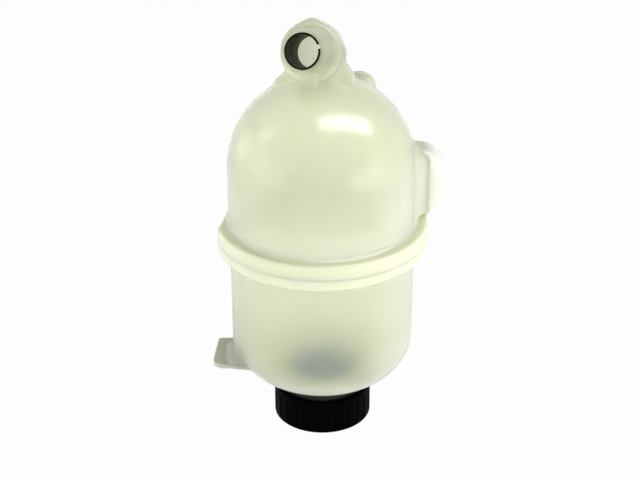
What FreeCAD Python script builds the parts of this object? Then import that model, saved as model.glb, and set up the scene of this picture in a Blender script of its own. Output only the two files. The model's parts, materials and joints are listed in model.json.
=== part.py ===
# Coolant reservoir: a welded two-shell tank that stands on its screw cap, dome up.
# The origin is the centre of the cap's flat outer face; +Z runs up the tank's axis,
# +X points to the side port housing and +Y to the hose nipples at the back.
import FreeCAD
import Part
import Sketcher
import math
import os

# Driving sizes in millimetres and degrees, each with the cell's remark.
SIZES = {
    # tank shells
    "upper_radius": (56.3, "outer radius of the upper shell and its dome"),
    "dome_centre_height": (169.5, "height of the dome's centre"),
    "lower_radius_top": (55.7, "outer radius of the lower shell at its flange"),
    "lower_radius_foot": (55.5, "outer radius of the lower shell where the bottom curve starts"),
    "bottom_curve_height": (59.6, "height where the bottom curve starts"),
    "bottom_curve_radius": (28.6, "radius of the bottom curve"),
    "shell_wall": (3.0, "wall of both shells"),
    "seam_height": (127.0, "height of the weld seam"),
    "flange_radius": (64.1, "outer radius of the weld flange"),
    "upper_flange_height": (9.0, "height of the upper half of the flange"),
    "lower_flange_height": (7.0, "height of the lower half of the flange"),
    "flange_edge_radius": (1.8, "rounding of the flange's outer edges"),
    "flange_root_radius": (4.0, "fillet where the upper flange meets the shell"),
    "flange_under_radius": (7.0, "fillet under the lower flange"),
    "flange_flat_distance": (56.8, "distance of the flat on the flange from the axis"),
    "flange_flat_angle": (167.0, "direction that the flat on the flange faces"),
    "seam_chamfer": (0.15, "chamfer on both sides of the seam"),
    # filler neck
    "neck_radius": (25.2, "outer radius of the filler neck under its thread"),
    "neck_bore_radius": (21.0, "bore of the filler neck"),
    "neck_root_radius": (1.2, "fillet at the root of the neck"),
    "neck_seat_gap": (0.2, "gap between the neck's rim and the cap"),
    # mounting tongue
    "tongue_top_height": (42.5, "height of the tongue's upper face"),
    "tongue_thickness": (2.6, "thickness of the tongue"),
    "tongue_reach": (68.2, "reach of the tongue from the axis at its front corner"),
    "tongue_back_reach": (65.4, "reach of the tongue from the axis at its back corner"),
    "tongue_back_width": (15.0, "width of the tongue behind the axis"),
    "tongue_front_width": (17.5, "width of the tongue before the axis"),
    "tongue_flare": (6.0, "how far the tongue's front edge flares out towards the shell"),
    "tongue_front_corner": (7.0, "corner radius at the tongue's front"),
    "tongue_back_corner": (2.0, "corner radius at the tongue's back"),
    "tongue_flare_radius": (9.0, "radius of the flare along the tongue's front edge"),
    # side port housing
    "port_reach": (72.7, "reach of the side port housing from the axis"),
    "port_front": (-2.0, "front face of the side port housing"),
    "port_depth": (20.0, "depth of the side port housing"),
    "port_top_height": (180.0, "top of the side port housing"),
    "port_bottom_height": (135.5, "underside of the side port housing"),
    "port_top_radius": (15.0, "rounding of the housing's upper outer corner"),
    "port_low_radius": (14.5, "rounding of the housing's lower outer corner"),
    "port_edge_radius": (6.0, "rounding of the housing's front and back edges"),
    "port_nipple_offset": (62.5, "distance of the side nipple from the axis"),
    "port_nipple_height": (14.5, "height of the side nipple above its housing's underside"),
    "port_nipple_radius": (5.2, "outer radius of the side nipple"),
    "port_nipple_bead": (0.9, "height of the side nipple's bead"),
    "port_nipple_bore": (3.6, "bore radius of the side nipple"),
    "port_nipple_length": (24.0, "length of the side nipple behind its housing"),
    # outlet on the dome
    "outlet_offset": (23.2, "distance of the outlet nipple from the axis plane"),
    "outlet_height": (191.0, "height of the outlet nipple"),
    "outlet_radius": (9.8, "outer radius of the outlet nipple"),
    "outlet_bead": (1.2, "height of the outlet nipple's bead"),
    "outlet_bore": (7.6, "bore radius of the outlet nipple"),
    "outlet_end": (72.0, "distance of the outlet's end from the axis plane"),
    "outlet_collar_radius": (13.5, "radius of the outlet's collar on the dome"),
    "outlet_collar_reach": (46.0, "distance of the collar's face from the axis plane"),
    "outlet_root": (14.0, "length of the collar, from its face to inside the dome"),
    "bead_length": (5.0, "length of a nipple's bead"),
    "bead_land": (1.5, "length of the bead's crest"),
    # lug and bush
    "lug_offset": (-7.9, "sideways place of the lug's middle"),
    "lug_height": (242.5, "height of the lug's middle"),
    "lug_turn": (17.5, "angle of the lug's axis to the axis plane"),
    "lug_tilt": (22.5, "rise of the lug's axis towards its mouth"),
    "lug_mouth_radius": (12.4, "outer radius of the lug at its mouth"),
    "lug_root_radius": (17.4, "outer radius of the lug at its closed end"),
    "lug_end_wall": (3.0, "wall at the closed end of the lug"),
    "collar_radius": (18.3, "radius of the collar round the lug's root"),
    "collar_length": (11.5, "length of the collar along the lug"),
    "collar_slope": (25.6, "slope of the two flats on top of the collar"),
    "collar_lean": (6.0, "lean of the collar's ridge to the left"),
    "collar_ridge_radius": (5.0, "rounding of the ridge between the flats"),
    "collar_edge_radius": (3.0, "rounding of the collar's front edge"),
    "stand_shift": (2.4, "sideways shift of the stand from the lug's middle"),
    "stand_half_width": (17.4, "half of the width of the stand under the lug"),
    "stand_thickness": (7.0, "thickness of the stand under the lug"),
    "stand_top": (10.0, "top of the stand above the lug's axis"),
    "stand_corner_radius": (10.0, "rounding of the stand's upper corners"),
    "stand_edge_radius": (2.0, "rounding of the stand's edges"),
    "stand_right_foot": (3.0, "depth below the lug's axis where the stand's right foot starts"),
    "stand_left_foot": (12.5, "depth below the lug's axis where the stand's left foot starts"),
    "stand_foot_width": (6.5, "width of each foot beside the stand"),
    "stand_foot_drop": (7.0, "height of each foot's slope"),
    "stand_foot_radius": (5.0, "rounding where a foot starts"),
    "stand_blend_radius": (4.0, "fillet between the stand and the dome"),
    "rib_width": (7.0, "width of the rib under the lug"),
    "rib_shift": (5.0, "sideways shift of the rib from the lug's middle"),
    "rib_length": (17.7, "length of the rib along the lug"),
    "rib_edge_radius": (2.5, "rounding of the rib's front edges"),
    "bush_radius": (10.7, "outer radius of the steel bush"),
    "bush_wall": (1.2, "wall of the steel bush"),
    "bush_length": (23.0, "length of the steel bush"),
    "bush_proud": (0.5, "how far the bush stands out of the lug"),
    "bush_fit": (0.05, "radial clearance of the bush in the lug"),
    "bush_slit": (2.8, "width of the slit along the bush"),
    "bush_slit_angle": (22.0, "angle of the slit above the level"),
    # screw cap
    "cap_radius": (30.0, "outer radius of the cap at its rim"),
    "cap_foot_radius": (30.0, "outer radius of the cap at its outer face"),
    "cap_height": (21.8, "height of the cap"),
    "cap_base": (3.2, "thickness of the cap's base"),
    "cap_bore_radius": (27.0, "inner radius of the cap's skirt"),
    "cap_edge_radius": (1.0, "rounding of the cap's outer edges"),
    "cap_flute_count": (24, "number of grip flutes"),
    "cap_flute_radius": (2.4, "radius of a grip flute"),
    "cap_flute_depth": (0.5, "depth of a grip flute"),
    "cap_flute_margin": (3.4, "plain height above and below the flutes"),
    "peg_radius": (8.0, "outer radius of the cap's snap peg"),
    "peg_bore_radius": (5.6, "bore radius of the snap peg"),
    "peg_lip": (1.2, "overhang of the snap peg's lip"),
    "peg_lip_height": (1.8, "height of the snap peg's lip"),
    # cap insert
    "insert_radius": (20.4, "outer radius of the insert in the neck"),
    "insert_tip_radius": (18.4, "outer radius of the insert's tip"),
    "insert_bore_radius": (14.8, "bore radius of the insert"),
    "insert_foot_height": (5.2, "height of the insert's foot"),
    "insert_step_height": (27.0, "height where the insert's tip starts"),
    "insert_step_rise": (2.0, "height of the insert's taper"),
    "insert_top_height": (35.5, "height of the insert's tip"),
    "insert_end_wall": (2.8, "thickness of the insert's end wall"),
    "insert_mouth_radius": (8.0, "radius of the opening in the insert's end wall"),
    "insert_lip": (0.8, "overhang of the lip under the retainer"),
    "insert_lip_height": (1.0, "height of that lip"),
    "insert_tip_edge": (1.5, "rounding of the insert's tip"),
    "seat_height": (1.4, "height of the pressure seat"),
    "seat_width": (1.4, "width of the pressure seat"),
    "ring_groove_height": (15.6, "height of the lower side of the ring groove"),
    "ring_section_radius": (1.65, "section radius of the sealing ring"),
    "ring_groove_width": (3.8, "width of the ring groove"),
    "ring_groove_depth": (2.8, "depth of the ring groove"),
    "ring_clearance": (0.02, "clearance of the ring over the groove"),
    # retainer
    "retainer_thickness": (2.4, "thickness of the retainer"),
    "retainer_groove": (0.8, "depth of the groove that holds the retainer"),
    "retainer_clearance": (0.2, "clearance round the retainer"),
    "peg_clearance": (0.3, "radial clearance of the retainer on the peg"),
    "vent_count": (6, "number of vent holes in the retainer"),
    "vent_radius": (1.0, "radius of a vent hole"),
    "vent_circle": (13.6, "radius of the circle of vent holes"),
    # pressure valve
    "seal_thickness": (1.6, "thickness of the pressure seal"),
    "seal_radius": (12.0, "outer radius of the pressure seal"),
    "seal_hole_radius": (3.0, "hole in the pressure seal"),
    "plate_thickness": (1.6, "thickness of the pressure plate"),
    "plate_radius": (14.0, "outer radius of the pressure plate"),
    "plate_hole_radius": (2.5, "hole in the pressure plate"),
    "plate_skirt": (1.8, "height of the pressure plate's skirt"),
    "plate_skirt_wall": (1.2, "wall of the pressure plate's skirt"),
    "main_coil_radius": (11.6, "mean radius of the pressure spring"),
    "main_wire_radius": (0.8, "wire radius of the pressure spring"),
    "main_turns": (4, "active turns of the pressure spring"),
    "spring_seat_gap": (0.05, "gap between a spring's end and its seat"),
    # vacuum valve
    "vacuum_disc_radius": (5.2, "radius of the vacuum valve's disc"),
    "vacuum_disc_height": (1.2, "thickness of the vacuum valve's disc"),
    "vacuum_stem_radius": (2.0, "radius of the vacuum valve's stem"),
    "vacuum_stem_length": (10.4, "length of the stem below the disc"),
    "clip_groove_radius": (1.6, "radius of the clip's groove in the stem"),
    "clip_groove_offset": (0.7, "stem end below the clip's groove"),
    "clip_thickness": (0.8, "thickness of the clip"),
    "clip_clearance": (0.05, "clearance of the clip in its groove"),
    "clip_radius": (4.2, "outer radius of the clip"),
    "clip_slot": (2.4, "width of the slot in the clip"),
    "small_coil_radius": (3.2, "mean radius of the vacuum spring"),
    "small_wire_radius": (0.2, "wire radius of the vacuum spring"),
    "small_turns": (3, "active turns of the vacuum spring"),
}

doc = FreeCAD.newDocument("coolant_reservoir")
sheet = doc.addObject("Spreadsheet::Sheet", "Sizes")
for row, (name, (value, remark)) in enumerate(SIZES.items(), start=1):
    sheet.set(f"A{row}", remark)
    sheet.set(f"B{row}", str(value))
    sheet.setAlias(f"B{row}", name)
doc.recompute()


class Dim:
    """A size of the sheet, or a sum of sizes: its expression and its present value."""

    def __init__(self, text, value):
        self.text = text
        self.value = value

    def __add__(self, other):
        other = dim(other)
        return Dim(f"({self.text} + {other.text})", self.value + other.value)

    def __sub__(self, other):
        other = dim(other)
        return Dim(f"({self.text} - {other.text})", self.value - other.value)

    def __mul__(self, factor):
        factor = dim(factor)
        return Dim(f"({self.text} * {factor.text})", self.value * factor.value)

    def __truediv__(self, divisor):
        divisor = dim(divisor)
        return Dim(f"({self.text} / {divisor.text})", self.value / divisor.value)

    def __neg__(self):
        return Dim(f"(0 - {self.text})", -self.value)


def dim(item):
    if isinstance(item, Dim):
        return item
    if isinstance(item, str):
        return Dim("Sizes." + item, float(sheet.get(item)))
    return Dim(repr(item), float(item))


def least(first, second):
    first = dim(first)
    second = dim(second)
    return Dim(f"min({first.text}; {second.text})", min(first.value, second.value))


def bind(item, **sizes):
    for prop, value in sizes.items():
        item.setExpression(prop.replace("__", "."), dim(value).text)
    return item


def primitive(kind, name, x=0, y=0, z=0, turn=None, **sizes):
    """A Part primitive with its sizes and its place bound to the sheet."""
    item = doc.addObject("Part::" + kind, name)
    if turn is not None:
        item.Placement = FreeCAD.Placement(FreeCAD.Vector(), turn)
    bind(item, **sizes)
    bind(item, Placement__Base__x=x, Placement__Base__y=y, Placement__Base__z=z)
    return item


def combine(kind, name, *items):
    result = doc.addObject("Part::" + kind, name)
    if kind == "Cut":
        result.Base, result.Tool = items
    else:
        result.Shapes = list(items)
    return result


def plane(body, role):
    return [item for item in body.Origin.OriginFeatures if item.Role == role][0]


def outline(body, name, corners, role="XZ_Plane"):
    """A closed sketch: each corner is (across, up) or (across, up, radius, turn), and the
    radius and turn bend the side that starts at that corner, 1 to the left and -1 to the right."""
    sketch = body.newObject("Sketcher::SketchObject", name)
    sketch.AttachmentSupport = [(plane(body, role), "")]
    sketch.MapMode = "FlatFace"
    points = [(dim(c[0]), dim(c[1])) for c in corners]
    count = len(points)
    for i, corner in enumerate(corners):
        start = FreeCAD.Vector(points[i][0].value, points[i][1].value, 0)
        end = FreeCAD.Vector(points[(i + 1) % count][0].value, points[(i + 1) % count][1].value, 0)
        if len(corner) == 2:
            sketch.addGeometry(Part.LineSegment(start, end), False)
            continue
        radius = dim(corner[2]).value
        chord = end - start
        side = FreeCAD.Vector(-chord.y, chord.x, 0).normalize() * corner[3]
        rise = math.sqrt(max(radius ** 2 - (chord.Length / 2) ** 2, 0))
        centre = (start + end) * 0.5 + side * rise
        middle = centre - side * radius
        sketch.addGeometry(Part.Arc(start, middle, end), False)
    for i, corner in enumerate(corners):
        before = corners[i - 1]
        starts = 1 if len(corner) == 2 or corner[3] > 0 else 2
        ends = 2 if len(before) == 2 or before[3] > 0 else 1
        sketch.addConstraint(Sketcher.Constraint("Coincident", (i - 1) % count, ends, i, starts))
    for i, corner in enumerate(corners):
        starts = 1 if len(corner) == 2 or corner[3] > 0 else 2
        for kind, axis, size in (("DistanceX", -2, points[i][0]), ("DistanceY", -1, points[i][1])):
            if abs(size.value) < 1e-9:
                sketch.addConstraint(Sketcher.Constraint("PointOnObject", i, starts, axis))
            elif size.value > 0:
                index = sketch.addConstraint(Sketcher.Constraint(kind, -1, 1, i, starts, size.value))
                sketch.setExpression(f"Constraints[{index}]", size.text)
            else:
                index = sketch.addConstraint(Sketcher.Constraint(kind, i, starts, -1, 1, -size.value))
                sketch.setExpression(f"Constraints[{index}]", (-size).text)
        if len(corner) == 4:
            radius = dim(corner[2])
            index = sketch.addConstraint(Sketcher.Constraint("Radius", i, radius.value))
            sketch.setExpression(f"Constraints[{index}]", radius.text)
    return sketch


def revolved(name, corners):
    body = doc.addObject("PartDesign::Body", name)
    sketch = outline(body, name + "Profile", corners)
    turn = body.newObject("PartDesign::Revolution", name + "Turn")
    turn.Profile = sketch
    turn.ReferenceAxis = (sketch, ["V_Axis"])
    turn.Angle = 360
    doc.recompute()
    return body


def circles(body, radius, height):
    """The circular edges of a body about the axis, with that radius at that height."""
    names = []
    for i, edge in enumerate(body.Shape.Edges, start=1):
        if edge.Degenerated or not isinstance(edge.Curve, Part.Circle):
            continue
        if abs(edge.Curve.Radius - dim(radius).value) < 1e-4 and abs(edge.Curve.Center.z - dim(height).value) < 1e-4:
            names.append(f"Edge{i}")
    return names


def dress(body, kind, name, edges, size):
    """A PartDesign fillet or chamfer on named edges of a body's last feature."""
    feature = body.newObject("PartDesign::" + kind, name)
    feature.Base = (body.Group[-2], edges)
    bind(feature, **{"Radius" if kind == "Fillet" else "Size": size})
    doc.recompute()
    return feature


def straight(body, test):
    """The straight edges of a body whose middle passes the test."""
    names = []
    for i, edge in enumerate(body.Shape.Edges, start=1):
        if isinstance(edge.Curve, Part.Line):
            ends = [v.Point for v in edge.Vertexes]
            if test(ends[0], ends[1]):
                names.append(f"Edge{i}")
    return names


def turned(axis, angle):
    return FreeCAD.Rotation(FreeCAD.Vector(*axis), angle)


back = turned((1, 0, 0), -90)

# Lower shell: the outer form and the cavity are two revolves; the tongue is a pad.
seam = dim("seam_height")
curve_centre = dim("lower_radius_foot") - "bottom_curve_radius"
bottom = dim("bottom_curve_height") - "bottom_curve_radius"
neck_rim = dim("cap_base") + "neck_seat_gap"
flange_low = seam - "lower_flange_height"
lower_outer = revolved("LowerOuter", [
    (0, neck_rim),
    ("neck_radius", neck_rim),
    ("neck_radius", bottom),
    (curve_centre, bottom, "bottom_curve_radius", 1),
    ("lower_radius_foot", "bottom_curve_height"),
    ("lower_radius_top", flange_low),
    ("flange_radius", flange_low),
    ("flange_radius", seam),
    (0, seam),
])
dress(lower_outer, "Fillet", "LowerFlangeEdge", circles(lower_outer, "flange_radius", flange_low), "flange_edge_radius")
dress(lower_outer, "Chamfer", "LowerSeamEdge", circles(lower_outer, "flange_radius", seam), "seam_chamfer")
dress(lower_outer, "Fillet", "LowerFlangeRoot", circles(lower_outer, "lower_radius_top", flange_low), "flange_under_radius")
dress(lower_outer, "Fillet", "NeckRoot", circles(lower_outer, "neck_radius", bottom), "neck_root_radius")
inner_foot = dim("lower_radius_foot") - "shell_wall"
inner_top = dim("lower_radius_top") - "shell_wall"
inner_curve = dim("bottom_curve_radius") - "shell_wall"
inner_bottom = bottom + "shell_wall"
lower_inner = revolved("LowerInner", [
    (0, neck_rim - 5),
    ("neck_bore_radius", neck_rim - 5),
    ("neck_bore_radius", inner_bottom),
    (curve_centre, inner_bottom, inner_curve, 1),
    (inner_foot, "bottom_curve_height"),
    (inner_top, seam),
    (inner_top, seam + 5),
    (0, seam + 5),
])

tongue = doc.addObject("PartDesign::Body", "Tongue")
tongue_sketch = outline(tongue, "TongueProfile", [
    (-curve_centre, "tongue_back_width"),
    (-dim("tongue_back_reach"), "tongue_back_width"),
    (-dim("tongue_reach"), -dim("tongue_front_width")),
    (-dim("lower_radius_foot") - 1, -dim("tongue_front_width")),
    (-curve_centre, -(dim("tongue_front_width") + "tongue_flare")),
], "XY_Plane")
tongue_pad = tongue.newObject("PartDesign::Pad", "TonguePad")
tongue_pad.Profile = tongue_sketch
bind(tongue_pad, Length="tongue_thickness")
bind(tongue, Placement__Base__z=dim("tongue_top_height") - "tongue_thickness")
doc.recompute()


def upright(body, across, along):
    """The upright edges of a pad at one corner of its outline."""
    def test(a, b):
        return all(math.hypot(p.x - dim(across).value, p.y - dim(along).value) < 1e-4 for p in (a, b))
    return straight(body, test)


tongue_front = -dim("tongue_front_width")
tongue_room = dim("tongue_reach") - "lower_radius_foot" - 1
dress(tongue, "Fillet", "TongueFront", upright(tongue, -dim("tongue_reach"), tongue_front),
      least("tongue_front_corner", tongue_room * 0.6))
dress(tongue, "Fillet", "TongueBack", upright(tongue, -dim("tongue_back_reach"), "tongue_back_width"),
      "tongue_back_corner")
dress(tongue, "Fillet", "TongueFlare", upright(tongue, -(dim("lower_radius_foot") + 1), tongue_front),
      "tongue_flare_radius")

# A flat trims the flange of both shells at the left rear.
flat_half = dim("flange_radius")
flat_turn = math.radians(dim("flange_flat_angle").value)
flat_rotation = turned((0, 0, 1), dim("flange_flat_angle").value)
flange_flat = primitive(
    "Box", "FlangeFlat", turn=flat_rotation, z=seam - flat_half / 2,
    x=dim("flange_flat_distance") * math.cos(flat_turn) + flat_half * math.sin(flat_turn),
    y=dim("flange_flat_distance") * math.sin(flat_turn) - flat_half * math.cos(flat_turn),
    Length=20, Width=flat_half * 2, Height=flat_half)
lower_trimmed = combine("Cut", "LowerTrimmed", lower_outer, flange_flat)
lower_form = combine("MultiFuse", "LowerForm", lower_trimmed, tongue)
lower_shell = combine("Cut", "LowerShell", lower_form, lower_inner)

# Upper shell: dome and flange.
flange_top = seam + "upper_flange_height"
apex = dim("dome_centre_height") + "upper_radius"
upper_outer = revolved("UpperOuter", [
    (0, seam),
    ("flange_radius", seam),
    ("flange_radius", flange_top),
    ("upper_radius", flange_top),
    ("upper_radius", "dome_centre_height", "upper_radius", 1),
    (0, apex),
])
dress(upper_outer, "Fillet", "UpperFlangeEdge", circles(upper_outer, "flange_radius", flange_top), "flange_edge_radius")
dress(upper_outer, "Chamfer", "UpperSeamEdge", circles(upper_outer, "flange_radius", seam), "seam_chamfer")
dress(upper_outer, "Fillet", "UpperFlangeRoot", circles(upper_outer, "upper_radius", flange_top), "flange_root_radius")
upper_cavity = dim("upper_radius") - "shell_wall"
upper_inner = revolved("UpperInner", [
    (0, seam - 5),
    (upper_cavity, seam - 5),
    (upper_cavity, "dome_centre_height", upper_cavity, 1),
    (0, dim("dome_centre_height") + upper_cavity),
])

# Side port housing: a rounded block on the flange, hollow into the tank.
port_root = dim("upper_radius") - 16
port_reach = dim("port_reach")
port_height = dim("port_top_height") - "port_bottom_height"


def port_block(name, inset, top, low, edge):
    block = primitive(
        "Box", name, x=port_root, y=dim("port_front") + inset, z=dim("port_bottom_height") + inset,
        Length=port_reach - port_root - inset, Width=dim("port_depth") - dim(inset) * 2,
        Height=port_height - dim(inset) * 2)
    doc.recompute()
    reach = (port_reach - inset).value
    upper = (dim("port_top_height") - inset).value
    lower = (dim("port_bottom_height") + inset).value
    edges = []
    for i, item in enumerate(block.Shape.Edges, start=1):
        centre = item.CenterOfMass
        if abs(centre.x - reach) < 1e-4 and abs(centre.z - upper) < 1e-4:
            edges.append((i, dim(top).value, dim(top).value))
        if abs(centre.x - reach) < 1e-4 and abs(centre.z - lower) < 1e-4:
            edges.append((i, dim(low).value, dim(low).value))
    corners = doc.addObject("Part::Fillet", name + "Corners")
    corners.Base = block
    corners.Edges = edges
    doc.recompute()
    if edge is None:
        return corners
    front = dim("port_front").value
    rear = (dim("port_front") + "port_depth").value
    edges = []
    for i, item in enumerate(corners.Shape.Edges, start=1):
        box = item.BoundBox
        flat = box.YLength < 1e-4 and min(abs(box.YMin - front), abs(box.YMin - rear)) < 1e-4
        if flat and box.XMax > port_root.value + 1e-4:
            edges.append((i, dim(edge).value, dim(edge).value))
    rounded = doc.addObject("Part::Fillet", name + "Edges")
    rounded.Base = corners
    rounded.Edges = edges
    doc.recompute()
    return rounded


port_top = least("port_top_radius", port_height * 0.52)
port_low = least("port_low_radius", port_height * 0.42)
port_outer = port_block("PortOuter", 0, port_top, port_low, "port_edge_radius")
port_inner = port_block("PortInner", "shell_wall", port_top - "shell_wall", port_low - "shell_wall", None)
port_back = dim("port_front") + "port_depth"

# Hose nipples that point straight back, each a tube with a tapered bead at its end.


def nipple(name, across, height, start, length, radius, bead, bore):
    tube = primitive("Cylinder", name + "Tube", x=across, y=start, z=height, turn=back, Radius=radius, Height=length)
    bead_start = dim(start) + length - "bead_length"
    crest = primitive("Cylinder", name + "Crest", x=across, y=bead_start, z=height, turn=back,
                      Radius=dim(radius) + bead, Height="bead_land")
    ramp = primitive("Cone", name + "Ramp", x=across, y=bead_start + "bead_land", z=height, turn=back,
                     Radius1=dim(radius) + bead, Radius2=dim(radius), Height=dim("bead_length") - "bead_land")
    hole = primitive("Cylinder", name + "Bore", x=across, y=start, z=height, turn=back, Radius=bore,
                     Height=dim(length) + 1)
    return tube, crest, ramp, hole


port_tube, port_crest, port_ramp, port_bore = nipple(
    "PortNipple", "port_nipple_offset", dim("port_bottom_height") + "port_nipple_height", port_back - dim("shell_wall") * 1.5,
    dim("port_nipple_length") + dim("shell_wall") * 1.5, "port_nipple_radius", "port_nipple_bead", "port_nipple_bore")
outlet_start = dim("outlet_collar_reach") - "outlet_root"
outlet_tube, outlet_crest, outlet_ramp, outlet_bore = nipple(
    "Outlet", "outlet_offset", "outlet_height", outlet_start, dim("outlet_end") - outlet_start,
    "outlet_radius", "outlet_bead", "outlet_bore")
outlet_collar = primitive("Cylinder", "OutletCollar", x="outlet_offset", y=outlet_start, z="outlet_height", turn=back,
                          Radius="outlet_collar_radius", Height=dim("outlet_collar_reach") - outlet_start)

# Lug: a tapered socket with a ridged collar at its root, on a stand and a rib.
# Its own frame has z along the socket towards the mouth and y up.
turn = math.radians(dim("lug_turn").value)
tilt = math.radians(dim("lug_tilt").value)
lug_axis = FreeCAD.Vector(-math.sin(turn) * math.cos(tilt), -math.cos(turn) * math.cos(tilt), math.sin(tilt))
lug_across = FreeCAD.Vector(math.cos(turn), -math.sin(turn), 0)
lug_up = lug_axis.cross(lug_across)
lug_rotation = FreeCAD.Rotation(lug_across, lug_up, lug_axis, "ZXY")
lug_place = FreeCAD.Placement(FreeCAD.Vector(dim("lug_offset").value, 0, dim("lug_height").value), lug_rotation)


def in_lug(item, x=0, y=0, z=0, angle=0):
    """Puts an object at a place given in the lug's own frame."""
    local = FreeCAD.Placement(FreeCAD.Vector(dim(x).value, dim(y).value, dim(z).value), turned((0, 0, 1), angle))
    item.Placement = lug_place.multiply(local)
    return item


def sized(kind, name, **sizes):
    return bind(doc.addObject("Part::" + kind, name), **sizes)


bush_half = dim("bush_length") / 2
lug_mouth = bush_half - "bush_proud"
lug_root = -(bush_half + "lug_end_wall")
lug_length = lug_mouth - lug_root
lug_cone = in_lug(sized("Cone", "LugCone", Radius1="lug_root_radius", Radius2="lug_mouth_radius", Height=lug_length),
                  z=lug_root)
lug_bore = in_lug(sized("Cylinder", "LugBore", Radius=dim("bush_radius") + "bush_fit", Height=dim("bush_length") + 5),
                  z=-bush_half)


def plate(name, corners, thickness):
    """A pad of an outline that is given in the lug's own frame."""
    body = doc.addObject("PartDesign::Body", name)
    sketch = outline(body, name + "Profile", corners, "XY_Plane")
    pad = body.newObject("PartDesign::Pad", name + "Pad")
    pad.Profile = sketch
    bind(pad, Length=thickness)
    doc.recompute()
    return body


def rims(body, *heights):
    """The edges of a plate's faces at those heights, without its foot."""
    names = []
    foot = body.Shape.BoundBox.YMin + 1e-4
    for i, edge in enumerate(body.Shape.Edges, start=1):
        box = edge.BoundBox
        level = any(max(abs(box.ZMin - dim(h).value), abs(box.ZMax - dim(h).value)) < 1e-4 for h in heights)
        if level and (box.YMax > foot):
            names.append(f"Edge{i}")
    return names


# The collar is round below and has two flats on top that meet in a ridge.
slope = math.radians(dim("collar_slope").value)
collar_radius = dim("collar_radius")
ridge_radius = dim("collar_ridge_radius")
ridge_side = (collar_radius - ridge_radius) / math.cos(slope) + ridge_radius * math.cos(slope)
collar = plate("LugCollar", [
    (collar_radius * math.sin(slope), collar_radius * math.cos(slope)),
    (ridge_radius * math.sin(slope), ridge_side, ridge_radius, 1),
    (-(ridge_radius * math.sin(slope)), ridge_side),
    (-(collar_radius * math.sin(slope)), collar_radius * math.cos(slope), collar_radius, 1),
    (-collar_radius, 0, collar_radius, 1),
    (0, -collar_radius, collar_radius, 1),
    (collar_radius, 0, collar_radius, 1),
], "collar_length")
dress(collar, "Fillet", "CollarEdge", rims(collar, "collar_length"), "collar_edge_radius")
in_lug(collar, z=lug_root, angle=dim("collar_lean").value)

# The stand is a plate under the lug's closed end, blended into the dome.
stand_right = dim("stand_half_width") + "stand_shift"
stand_left = dim("stand_half_width") - "stand_shift"
stand_corner = dim("stand_corner_radius")
stand_side = dim("stand_top") - stand_corner
stand_foot = collar_radius * 1.6
foot_right = stand_right + "stand_foot_width"
foot_left = stand_left + "stand_foot_width"
stand = plate("Stand", [
    (-foot_left, -stand_foot),
    (foot_right, -stand_foot),
    (foot_right, -(dim("stand_right_foot") + "stand_foot_drop")),
    (stand_right, -dim("stand_right_foot")),
    (stand_right, stand_side, stand_corner, 1),
    (stand_right - stand_corner, "stand_top"),
    (-(stand_left - stand_corner), "stand_top", stand_corner, 1),
    (-stand_left, stand_side),
    (-stand_left, -dim("stand_left_foot")),
    (-foot_left, -(dim("stand_left_foot") + "stand_foot_drop")),
], "stand_thickness")
foot_edges = upright(stand, foot_right, -(dim("stand_right_foot") + "stand_foot_drop"))
foot_edges += upright(stand, stand_right, -dim("stand_right_foot"))
foot_edges += upright(stand, -stand_left, -dim("stand_left_foot"))
foot_edges += upright(stand, -foot_left, -(dim("stand_left_foot") + "stand_foot_drop"))
dress(stand, "Fillet", "StandFeet", foot_edges, "stand_foot_radius")
dress(stand, "Fillet", "StandEdge", rims(stand, 0, "stand_thickness"), "stand_edge_radius")
in_lug(stand, z=lug_root)
stand_reach = foot_right.value

# The rib stands under the collar.
rib_block = in_lug(sized("Box", "RibBlock", Length="rib_width", Width=collar_radius, Height="rib_length"),
                   x=dim("rib_shift") - dim("rib_width") / 2, y=-(collar_radius * 1.5), z=lug_root)
doc.recompute()
rib = doc.addObject("Part::Fillet", "Rib")
rib.Base = rib_block
rib_edge = dim("rib_edge_radius").value
rib_front = lug_place.multVec(FreeCAD.Vector(0, 0, (lug_root + "rib_length").value))
rib.Edges = [(i, rib_edge, rib_edge) for i, item in enumerate(rib_block.Shape.Edges, start=1)
             if abs((item.CenterOfMass - rib_front).dot(lug_axis)) < 1e-4 and item.Length > collar_radius.value - 1e-4]
doc.recompute()

upper_trimmed = combine("Cut", "UpperTrimmed", upper_outer, flange_flat)
upper_body = combine("MultiFuse", "UpperBody", upper_trimmed, port_outer, stand)
doc.recompute()


def on_dome(point):
    """Whether a point lies on the dome or on the straight wall below it."""
    radius = dim("upper_radius").value
    rise = max(point.z - dim("dome_centre_height").value, 0)
    return abs(math.hypot(point.x, point.y, rise) - radius) < 1e-3


blends = []
for i, item in enumerate(upper_body.Shape.Edges, start=1):
    if item.Degenerated:
        continue
    spots = [item.valueAt(item.FirstParameter + (item.LastParameter - item.FirstParameter) * k / 4) for k in range(5)]
    if not all(on_dome(spot) for spot in spots):
        continue
    middle = spots[2]
    near = abs(middle.x - dim("lug_offset").value) < stand_reach * 1.4 and middle.y < stand_reach * 1.4
    if near and middle.z > (dim("dome_centre_height") + dim("upper_radius") * 0.6).value:
        level = max(spot.z for spot in spots) - min(spot.z for spot in spots)
        if math.hypot(middle.x, middle.y) > 2 and (level > 1e-4 or item.Length < stand_reach * 2.8):
            blends.append((i, dim("stand_blend_radius").value, dim("stand_blend_radius").value))
upper_blend = doc.addObject("Part::Fillet", "UpperBlend")
upper_blend.Base = upper_body
upper_blend.Edges = blends
doc.recompute()
upper_form = combine("MultiFuse", "UpperForm", upper_blend, port_tube, port_crest, port_ramp, outlet_tube,
                     outlet_crest, outlet_ramp, outlet_collar, lug_cone, collar, rib)
upper_hollow = combine("MultiFuse", "UpperHollow", upper_inner, port_inner, port_bore, outlet_bore)
upper_open = combine("Cut", "UpperOpen", upper_form, upper_hollow)
upper_shell = combine("Cut", "UpperShell", upper_open, lug_bore)

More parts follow.
